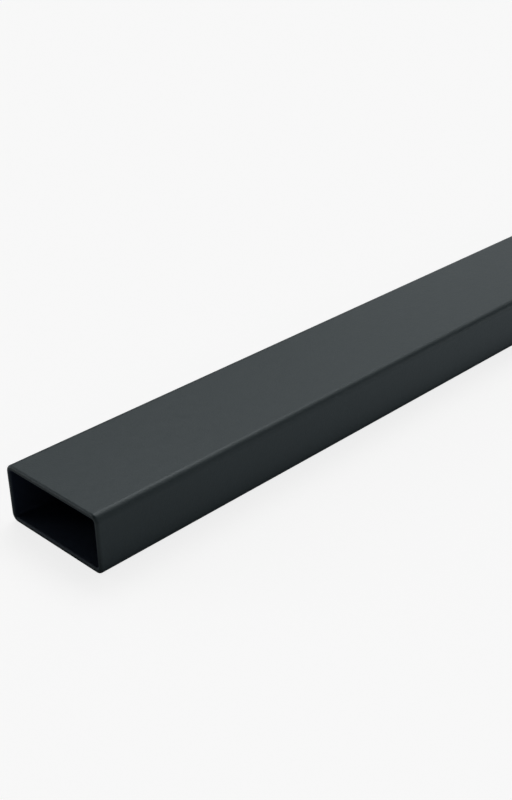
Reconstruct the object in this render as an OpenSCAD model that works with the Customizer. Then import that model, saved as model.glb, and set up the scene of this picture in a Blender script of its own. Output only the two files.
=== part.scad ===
// Cross rail for a drawer: one length of thin-walled rectangular tube with
// rounded corners. Both ends are sawn square and their edges are deburred, and
// the bore runs open from end to end, so that a plug-in connector fits in each.
// The rail lies along X on its broad side, with the origin at the middle of the
// underside.

/* [Section] */
// Width of the tube, across its broad side
section_w = 24; // [16:0.5:40]
// Height of the tube
section_h = 11; // [8:0.5:25]
// Thickness of the wall
wall = 1; // [0.8:0.1:2]
// Radius inside each bend; the outside radius is this and the wall
bend_r = 0.5; // [0.2:0.05:1.5]

/* [Length] */
// Length of the rail as it is sold, before it is cut to the drawer
rail_len = 1100; // [200:10:2000]

/* [Ends] */
// Leg of the chamfer round the outside of each sawn end
deburr_out = 0.3; // [0.1:0.05:0.4]
// Leg of the chamfer round the mouth of the bore
deburr_in = 0.3; // [0.1:0.05:0.3]

/* [Hidden] */
$fn = 48;

corner_r = bend_r + wall;
bore_w = section_w - 2 * wall;
bore_h = section_h - 2 * wall;
// How far the bore's cutting shape runs past each end
run_out = 1;

// Half of a bar's outline along its length, seen from the side. It is reach
// away from the bar's axis, and changes by grow over the last part of its
// length, dist long, before each end. past carries the slope beyond the end.
function edge_line(reach, grow, dist, past = 0) =
    let (slope = grow / dist, end = rail_len / 2)
    [
        [-end - past, reach + grow + slope * past],
        [-end + dist, reach],
        [end - dist, reach],
        [end + past, reach + grow + slope * past],
    ];

// The same outline on both sides of the axis, as a closed polygon
module both_sides(line) {
    back = [for (i = [len(line) - 1:-1:0]) [line[i][0], -line[i][1]]];
    polygon(concat(line, back));
}

// A post along X, turned from the outline
module corner_post(line) {
    half = [for (p = line) [p[1], p[0]]];
    foot = [[0, line[0][0]]];
    head = [[0, line[len(line) - 1][0]]];
    rotate([0, 90, 0])
        rotate_extrude()
            polygon(concat(foot, half, head));
}

// A bar along X with the section w by h and corners of radius r. Its ends
// taper by a positive bevel, or flare by a negative one.
module rounded_bar(w, h, r, bevel, past = 0) {
    flat_w = w - 2 * r;
    flat_h = h - 2 * r;
    dist = abs(bevel);
    linear_extrude(flat_h, center = true)
        both_sides(edge_line(w / 2, -bevel, dist, past));
    rotate([90, 0, 0])
        linear_extrude(flat_w, center = true)
            both_sides(edge_line(h / 2, -bevel, dist, past));
    for (y = [-1, 1], z = [-1, 1])
        translate([0, y * flat_w / 2, z * flat_h / 2])
            corner_post(edge_line(r, -bevel, dist, past));
}

module cross_rail() {
    color("#454b4c")
        translate([0, 0, section_h / 2])
            difference() {
                rounded_bar(section_w, section_h, corner_r, deburr_out);
                rounded_bar(bore_w, bore_h, bend_r, -deburr_in, run_out);
            }
}

cross_rail();
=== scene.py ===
# Dressed view of a drawer's cross rail: a straight length of coated
# rectangular tube that lies on a pale floor, seen from its near sawn end.
import math
import bpy
from mathutils import Matrix, Vector


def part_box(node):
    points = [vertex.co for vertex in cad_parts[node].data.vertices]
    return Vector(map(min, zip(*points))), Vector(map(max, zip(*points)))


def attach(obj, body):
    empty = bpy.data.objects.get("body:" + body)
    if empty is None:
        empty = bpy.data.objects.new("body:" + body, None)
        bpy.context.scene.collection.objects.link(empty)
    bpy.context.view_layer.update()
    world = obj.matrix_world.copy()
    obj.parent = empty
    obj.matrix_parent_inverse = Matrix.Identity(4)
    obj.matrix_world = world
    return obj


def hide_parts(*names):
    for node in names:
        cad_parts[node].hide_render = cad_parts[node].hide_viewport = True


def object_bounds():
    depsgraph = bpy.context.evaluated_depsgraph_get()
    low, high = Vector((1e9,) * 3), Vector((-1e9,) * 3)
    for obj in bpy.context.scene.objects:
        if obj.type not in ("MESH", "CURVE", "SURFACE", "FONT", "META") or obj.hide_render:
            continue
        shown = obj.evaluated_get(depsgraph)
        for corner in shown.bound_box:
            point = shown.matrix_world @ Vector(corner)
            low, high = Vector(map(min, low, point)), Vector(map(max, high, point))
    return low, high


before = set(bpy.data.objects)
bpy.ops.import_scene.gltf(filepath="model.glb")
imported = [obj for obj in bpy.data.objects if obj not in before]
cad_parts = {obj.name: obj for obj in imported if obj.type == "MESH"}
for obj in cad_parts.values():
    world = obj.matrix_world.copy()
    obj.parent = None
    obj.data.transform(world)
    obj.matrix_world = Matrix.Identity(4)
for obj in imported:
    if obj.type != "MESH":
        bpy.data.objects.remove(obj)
cadLowest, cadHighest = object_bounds()
print("frame loaded")


# The camera comes from the lines of the photo, with the image taken as 512 x 800
view = {
    "aimFromEnd": 0.058366,  # along the rail from its near end
    "aimAcross": 0.011970,
    "aimHeight": 0.0,
    "azimuth": -44.703,  # degrees round the rail; 0 looks along +Y
    "elevation": 27.816,
    "roll": -1.347,
    "distance": 0.239652,
    "focalPixels": 1205.948,
    "imageHeight": 800,
    "sensor": 36.0,  # millimetres along the image's long side
    "nearest": 0.01,
    "furthest": 60.0,
}


def makeCamera():
    data = bpy.data.cameras.new("railCamera")
    data.sensor_width = view["sensor"]
    data.lens = view["sensor"] * view["focalPixels"] / view["imageHeight"]
    data.clip_start = view["nearest"]
    data.clip_end = view["furthest"]
    camera = bpy.data.objects.new("railCamera", data)
    bpy.context.scene.collection.objects.link(camera)
    azimuth = math.radians(view["azimuth"])
    elevation = math.radians(view["elevation"])
    backward = Vector((
        math.sin(azimuth) * math.cos(elevation),
        -math.cos(azimuth) * math.cos(elevation),
        math.sin(elevation),
    ))
    right = Vector((math.cos(azimuth), math.sin(azimuth), 0.0))
    up = backward.cross(right)
    turn = Matrix((right, up, backward)).transposed()
    roll = Matrix.Rotation(math.radians(view["roll"]), 3, "Z")
    aim = Vector((cadLowest.x + view["aimFromEnd"], view["aimAcross"], view["aimHeight"]))
    place = Matrix.Translation(aim + backward * view["distance"])
    camera.matrix_world = place @ (turn @ roll).to_4x4()
    bpy.context.scene.camera = camera


makeCamera()
print("camera placed")


# The grain of a powder coat. Peel is the slow wave of the melted powder, Grain its
# fine texture, and Cloud the faint change of shade over a centimetre or two.
powderGrain = {
    "name": "powderGrain",
    "inputs": {
        "Grain Scale": 2600.0,
        "Peel Scale": 480.0,
        "Cloud Scale": 70.0,
        "Peel Share": 0.5,  # of the height; the rest is Grain
        "Cloud Share": 0.5,  # of the mottle; the rest is Grain
    },
    "grainNoise": {"Detail": 2.0, "Roughness": 0.55},
    "peelNoise": {"Detail": 1.0, "Roughness": 0.4},
    "cloudNoise": {"Detail": 2.0, "Roughness": 0.5},
}


def makeGrainGroup():
    group = bpy.data.node_groups.new(powderGrain["name"], "ShaderNodeTree")
    face = group.interface
    for name, value in powderGrain["inputs"].items():
        socket = face.new_socket(name, in_out="INPUT", socket_type="NodeSocketFloat")
        socket.default_value = value
    for name in ("Height", "Mottle"):
        face.new_socket(name, in_out="OUTPUT", socket_type="NodeSocketFloat")
    nodes = group.nodes
    links = group.links
    given = nodes.new("NodeGroupInput")
    result = nodes.new("NodeGroupOutput")
    place = nodes.new("ShaderNodeTexCoord")

    def noise(scaleName, settings):
        node = nodes.new("ShaderNodeTexNoise")
        for name, value in settings.items():
            node.inputs[name].default_value = value
        links.new(place.outputs["Object"], node.inputs["Vector"])
        links.new(given.outputs[scaleName], node.inputs["Scale"])
        return node.outputs["Fac"]

    def mixed(first, second, shareName):
        node = nodes.new("ShaderNodeMix")
        links.new(first, node.inputs["A"])
        links.new(second, node.inputs["B"])
        links.new(given.outputs[shareName], node.inputs["Factor"])
        return node.outputs["Result"]

    grain = noise("Grain Scale", powderGrain["grainNoise"])
    peel = noise("Peel Scale", powderGrain["peelNoise"])
    cloud = noise("Cloud Scale", powderGrain["cloudNoise"])
    links.new(mixed(grain, peel, "Peel Share"), result.inputs["Height"])
    links.new(mixed(grain, cloud, "Cloud Share"), result.inputs["Mottle"])
    return group


grainGroup = makeGrainGroup()
print("grain made")


# The coat is full outside. Over the rim of each end and into the bore its colour is painted
# darker and bluer: painted shade of the bore, over a thinner coat there.
coat = {
    "name": "powderCoat",
    "dark": (0.0196, 0.0302, 0.0326),
    "light": (0.0230, 0.0354, 0.0382),
    "smooth": 0.41,  # roughness where the mottle is light
    "rough": 0.47,
    "bump": 0.8,  # strength of the grain
    # painted shade of the bore: darker, bluer colours over its thinner coat
    "boreShadeDark": (0.0080, 0.0145, 0.0310),
    "boreShadeLight": (0.0115, 0.0205, 0.0440),
    "boreSmooth": 0.62,
    "boreRough": 0.75,
    "boreBump": 0.3,
    "specular": 0.5,
    "bumpDepth": 0.00008,
    "peelShare": 0.45,
    "cloudShare": 0.45,
    "thinShadeFrom": 0.0005,  # depth below the tube's outer surface
    "thinShadeTo": 0.001,
}
section = {
    "width": cadHighest.y - cadLowest.y,
    "height": cadHighest.z - cadLowest.z,
    "wall": 0.001,
    "bendRadius": 0.0015,  # outside of each bend along the tube
}


def makeCoat():
    material = bpy.data.materials.new(coat["name"])
    material.use_nodes = True
    nodes = material.node_tree.nodes
    links = material.node_tree.links
    shader = nodes["Principled BSDF"]
    grain = nodes.new("ShaderNodeGroup")
    grain.node_tree = grainGroup
    grain.inputs["Peel Share"].default_value = coat["peelShare"]
    grain.inputs["Cloud Share"].default_value = coat["cloudShare"]
    mottle = grain.outputs["Mottle"]

    # How far a point lies below the section's outer surface
    corner = (
        0.0,
        section["width"] / 2 - section["bendRadius"],
        section["height"] / 2 - section["bendRadius"],
    )
    middle = (0.0, (cadLowest.y + cadHighest.y) / 2, (cadLowest.z + cadHighest.z) / 2)

    def vector(operation, first, second=None):
        node = nodes.new("ShaderNodeVectorMath")
        node.operation = operation
        links.new(first, node.inputs[0])
        if second:
            node.inputs[1].default_value = second
        return node

    place = nodes.new("ShaderNodeTexCoord")
    across = vector("MULTIPLY", place.outputs["Object"], (0.0, 1.0, 1.0))
    centred = vector("SUBTRACT", across.outputs["Vector"], middle)
    folded = vector("ABSOLUTE", centred.outputs["Vector"])
    beyond = vector("SUBTRACT", folded.outputs["Vector"], corner)
    outward = vector("MAXIMUM", beyond.outputs["Vector"], (0.0, 0.0, 0.0))
    reach = vector("LENGTH", outward.outputs["Vector"])
    # This mask brings in the painted shade of the bore across the rim of each end
    thinShade = nodes.new("ShaderNodeMapRange")
    thinShade.interpolation_type = "SMOOTHSTEP"
    thinShade.inputs["From Min"].default_value = section["bendRadius"] - coat["thinShadeFrom"]
    thinShade.inputs["From Max"].default_value = section["bendRadius"] - coat["thinShadeTo"]
    links.new(reach.outputs["Value"], thinShade.inputs["Value"])
    thinCoatAndShade = thinShade.outputs["Result"]

    def ranged(low, high, value):
        node = nodes.new("ShaderNodeMapRange")
        for name, given in (("To Min", low), ("To Max", high), ("Value", value)):
            if isinstance(given, float):
                node.inputs[name].default_value = given
            else:
                links.new(given, node.inputs[name])
        return node.outputs["Result"]

    def blended(low, high, share):
        node = nodes.new("ShaderNodeMix")
        node.data_type = "RGBA"
        for name, given in (("A", low), ("B", high)):
            if isinstance(given, tuple):
                node.inputs[name].default_value = (*given, 1.0)
            else:
                links.new(given, node.inputs[name])
        links.new(share, node.inputs["Factor"])
        return node.outputs["Result"]

    full = blended(coat["dark"], coat["light"], mottle)
    # The bore's colour is painted shade, darker and bluer, over a thinner coat
    shadedBore = blended(coat["boreShadeDark"], coat["boreShadeLight"], mottle)
    links.new(blended(full, shadedBore, thinCoatAndShade), shader.inputs["Base Color"])
    fullSheen = ranged(coat["rough"], coat["smooth"], mottle)
    bareSheen = ranged(coat["boreRough"], coat["boreSmooth"], mottle)
    links.new(ranged(fullSheen, bareSheen, thinCoatAndShade), shader.inputs["Roughness"])
    shader.inputs["Specular IOR Level"].default_value = coat["specular"]

    bump = nodes.new("ShaderNodeBump")
    bump.inputs["Distance"].default_value = coat["bumpDepth"]
    links.new(ranged(coat["bump"], coat["boreBump"], thinCoatAndShade), bump.inputs["Strength"])
    links.new(grain.outputs["Height"], bump.inputs["Height"])
    links.new(bump.outputs["Normal"], shader.inputs["Normal"])
    return material


rail = {
    "name": "railTube",
    "endRound": 0.00045,  # outer edge of each sawn end, deburred and coated
    "mouthRound": 0.0004,  # edge round each mouth of the bore
    "bendSteps": 16,  # faces in each quarter bend
    "roundSteps": 6,  # faces across each rounded edge
    "ringGap": 0.05,  # at most, from ring to ring along the length
}


def quarterTurn(steps):
    return [math.pi / 2 * i / steps for i in range(steps + 1)]


# One closed ring of the section at x. lean tips its normals from straight
# outwards, at 0, to straight along X, at a quarter turn; side is the way they
# point along X, and facing is -1 on the bore's wall.
def sectionRing(x, halfWidth, halfHeight, radius, lean, side, facing):
    ring = []
    corners = ((1, 1, 0), (-1, 1, 1), (-1, -1, 2), (1, -1, 3))
    for across, upward, quarter in corners:
        for turn in quarterTurn(rail["bendSteps"]):
            angle = turn + quarter * math.pi / 2
            y = across * (halfWidth - radius) + radius * math.cos(angle)
            z = upward * (halfHeight - radius) + radius * math.sin(angle)
            outward = facing * math.cos(lean)
            normal = Vector((
                side * math.sin(lean),
                outward * math.cos(angle),
                outward * math.sin(angle),
            ))
            ring.append((Vector((x, y, z)), normal))
    return ring


# The wall's surface at one end, from its rim to where it runs straight
def endRings(endX, side, halfWidth, halfHeight, radius, rounding, facing):
    rings = []
    for lean in reversed(quarterTurn(rail["roundSteps"])):
        x = endX - side * rounding * (1 - math.sin(lean))
        inset = facing * rounding * (1 - math.cos(lean))
        rings.append(sectionRing(
            x, halfWidth - inset, halfHeight - inset, radius - inset, lean, side, facing))
    return rings


def straightRings(startX, stopX, halfWidth, halfHeight, radius, facing):
    count = math.ceil(abs(stopX - startX) / rail["ringGap"])
    places = [startX + (stopX - startX) * i / count for i in range(1, count)]
    return [sectionRing(x, halfWidth, halfHeight, radius, 0.0, 1, facing) for x in places]


def makeRail(material):
    lowest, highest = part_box("cross_rail")
    outer = (section["width"] / 2, section["height"] / 2, section["bendRadius"])
    bore = tuple(value - section["wall"] for value in outer)
    left, right = lowest.x, highest.x
    endRound = rail["endRound"]
    mouthRound = rail["mouthRound"]

    # Round the outside from left to right, and back through the bore
    outside = endRings(left, -1, *outer, endRound, 1)
    outside += straightRings(left + endRound, right - endRound, *outer, 1)
    outside += list(reversed(endRings(right, 1, *outer, endRound, 1)))
    inside = endRings(right, 1, *bore, mouthRound, -1)
    inside += straightRings(right - mouthRound, left + mouthRound, *bore, -1)
    inside += list(reversed(endRings(left, -1, *bore, mouthRound, -1)))
    rings = outside + inside

    perRing = len(rings[0])
    centre = Vector((0.0, (lowest.y + highest.y) / 2, (lowest.z + highest.z) / 2))
    points = [point + centre for ring in rings for point, normal in ring]
    normals = [normal for ring in rings for point, normal in ring]
    faces = []
    for i in range(len(rings)):
        after = (i + 1) % len(rings)
        for j in range(perRing):
            beside = (j + 1) % perRing
            faces.append((
                i * perRing + j,
                i * perRing + beside,
                after * perRing + beside,
                after * perRing + j,
            ))

    mesh = bpy.data.meshes.new(rail["name"])
    mesh.from_pydata(points, [], faces)
    mesh.materials.append(material)
    for polygon in mesh.polygons:
        polygon.use_smooth = True
    mesh.normals_split_custom_set_from_vertices(normals)
    tube = bpy.data.objects.new(rail["name"], mesh)
    bpy.context.scene.collection.objects.link(tube)
    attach(tube, "root")
    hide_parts("cross_rail")


makeRail(makeCoat())
print("rail built")


floor = {
    "name": "paleFloor",
    "halfSide": 20.0,
    "gap": 0.00002,  # below the rail, so that the two faces never share a plane
    "seen": (0.86, 0.80, 0.777),  # what the camera sees of it
    "paleShare": 0.65,  # share of the seen floor that no shadow darkens
    "paleLight": 1.25,  # how bright that share is
    "bounced": (0.50, 0.50, 0.50),  # what the rail gets from it
    "glow": (0.89, 0.98, 1.06),  # the light that the floor in front adds
    "glowHigh": 0.44,  # its strength at glowTo
    "glowFrom": -0.13,  # along the rail from its near end
    "glowTo": 0.32,
    "glowNear": 0.0,  # in front of the rail, where it begins
    "glowFull": 0.004,
}


def makeFloor():
    side = floor["halfSide"]
    corners = [(-side, -side), (side, -side), (side, side), (-side, side)]
    height = cadLowest.z - floor["gap"]
    mesh = bpy.data.meshes.new(floor["name"])
    mesh.from_pydata([(x, y, height) for x, y in corners], [], [(0, 1, 2, 3)])
    material = bpy.data.materials.new(floor["name"])
    material.use_nodes = True
    nodes = material.node_tree.nodes
    links = material.node_tree.links
    nodes.remove(nodes["Principled BSDF"])
    seen = nodes.new("ShaderNodeBsdfDiffuse")
    seen.inputs["Color"].default_value = (*floor["seen"], 1.0)
    pale = nodes.new("ShaderNodeEmission")
    pale.inputs["Strength"].default_value = floor["paleLight"]
    soft = nodes.new("ShaderNodeMixShader")
    soft.inputs["Fac"].default_value = floor["paleShare"]
    links.new(seen.outputs["BSDF"], soft.inputs[1])
    links.new(pale.outputs["Emission"], soft.inputs[2])

    # The rail gets a darker floor, which lights up in front of it along its length
    place = nodes.new("ShaderNodeTexCoord")
    apart = nodes.new("ShaderNodeSeparateXYZ")
    links.new(place.outputs["Object"], apart.inputs["Vector"])
    along = nodes.new("ShaderNodeMapRange")
    along.inputs["From Min"].default_value = cadLowest.x + floor["glowFrom"]
    along.inputs["From Max"].default_value = cadLowest.x + floor["glowTo"]
    along.inputs["To Max"].default_value = floor["glowHigh"]
    links.new(apart.outputs["X"], along.inputs["Value"])
    across = nodes.new("ShaderNodeMapRange")
    across.interpolation_type = "SMOOTHSTEP"
    across.inputs["From Min"].default_value = cadLowest.y - floor["glowNear"]
    across.inputs["From Max"].default_value = cadLowest.y - floor["glowFull"]
    links.new(apart.outputs["Y"], across.inputs["Value"])
    strength = nodes.new("ShaderNodeMath")
    strength.operation = "MULTIPLY"
    links.new(along.outputs["Result"], strength.inputs[0])
    links.new(across.outputs["Result"], strength.inputs[1])
    glow = nodes.new("ShaderNodeEmission")
    glow.inputs["Color"].default_value = (*floor["glow"], 1.0)
    links.new(strength.outputs["Value"], glow.inputs["Strength"])
    bounced = nodes.new("ShaderNodeBsdfDiffuse")
    bounced.inputs["Color"].default_value = (*floor["bounced"], 1.0)
    lit = nodes.new("ShaderNodeAddShader")
    links.new(bounced.outputs["BSDF"], lit.inputs[0])
    links.new(glow.outputs["Emission"], lit.inputs[1])

    ray = nodes.new("ShaderNodeLightPath")
    chosen = nodes.new("ShaderNodeMixShader")
    links.new(ray.outputs["Is Camera Ray"], chosen.inputs["Fac"])
    links.new(lit.outputs["Shader"], chosen.inputs[1])
    links.new(soft.outputs["Shader"], chosen.inputs[2])
    links.new(chosen.outputs["Shader"], nodes["Material Output"].inputs["Surface"])
    mesh.materials.append(material)
    plane = bpy.data.objects.new(floor["name"], mesh)
    bpy.context.scene.collection.objects.link(plane)


makeFloor()
print("floor laid")


# Broad soft lights, so far away that they are the same all along the rail. Most
# of the light comes over the rail from behind and from the right, and two weak
# ones in front light the views from behind.
# azimuth is where a light stands: 0 is in front, at -Y, and 90 is at +X.
lights = {
    "overheadBehind": {"azimuth": 135.0, "elevation": 56.0, "power": 0.793, "spread": 34.0},
    "overheadRight": {"azimuth": 90.0, "elevation": 56.0, "power": 0.293, "spread": 34.0},
    "overheadFront": {"azimuth": 45.0, "elevation": 56.0, "power": 0.066, "spread": 34.0},
    "halfBack": {"azimuth": 180.0, "elevation": 32.0, "power": 0.185, "spread": 30.0},
    "halfFrontLeft": {"azimuth": 330.0, "elevation": 32.0, "power": 0.120, "spread": 30.0},
    "halfNear": {"azimuth": 0.0, "elevation": 32.0, "power": 0.100, "spread": 30.0},
    "halfBehind": {"azimuth": 150.0, "elevation": 32.0, "power": 0.070, "spread": 30.0},
    "halfRight": {"azimuth": 120.0, "elevation": 32.0, "power": 0.055, "spread": 30.0},
    "halfFront": {"azimuth": 30.0, "elevation": 32.0, "power": 0.026, "spread": 30.0},
    "lowBehindLeft": {"azimuth": 210.0, "elevation": 10.0, "power": 0.480, "spread": 28.0},
    "lowRight": {"azimuth": 60.0, "elevation": 10.0, "power": 0.195, "spread": 28.0},
    "lowFarRight": {"azimuth": 120.0, "elevation": 10.0, "power": 0.103, "spread": 28.0},
    "lowFrontRight": {"azimuth": 30.0, "elevation": 10.0, "power": 0.043, "spread": 28.0},
}
studio = {
    "lightColour": (0.93, 1.0, 1.03),
    "backdropColour": (1.0, 1.0, 1.0),
    "backdropSeen": 0.95,  # its strength to the camera; it lights nothing
}


def makeLight(name, place):
    data = bpy.data.lights.new(name, "SUN")
    data.energy = place["power"]
    data.color = studio["lightColour"]
    data.angle = math.radians(place["spread"])
    lamp = bpy.data.objects.new(name, data)
    azimuth = math.radians(place["azimuth"])
    elevation = math.radians(place["elevation"])
    towards = Vector((
        math.sin(azimuth) * math.cos(elevation),
        -math.cos(azimuth) * math.cos(elevation),
        math.sin(elevation),
    ))
    lamp.rotation_mode = "QUATERNION"
    lamp.rotation_quaternion = towards.to_track_quat("Z", "Y")
    bpy.context.scene.collection.objects.link(lamp)


def makeBackdrop():
    world = bpy.data.worlds.new("backdrop")
    bpy.context.scene.world = world
    world.use_nodes = True
    nodes = world.node_tree.nodes
    links = world.node_tree.links
    background = nodes["Background"]
    background.inputs["Color"].default_value = (*studio["backdropColour"], 1.0)
    ray = nodes.new("ShaderNodeLightPath")
    strength = nodes.new("ShaderNodeMath")
    strength.operation = "MULTIPLY"
    strength.inputs[1].default_value = studio["backdropSeen"]
    links.new(ray.outputs["Is Camera Ray"], strength.inputs[0])
    links.new(strength.outputs["Value"], background.inputs["Strength"])


for lightName, lightPlace in lights.items():
    makeLight(lightName, lightPlace)
makeBackdrop()
bpy.context.scene.view_settings.view_transform = "Standard"
print("lights set")
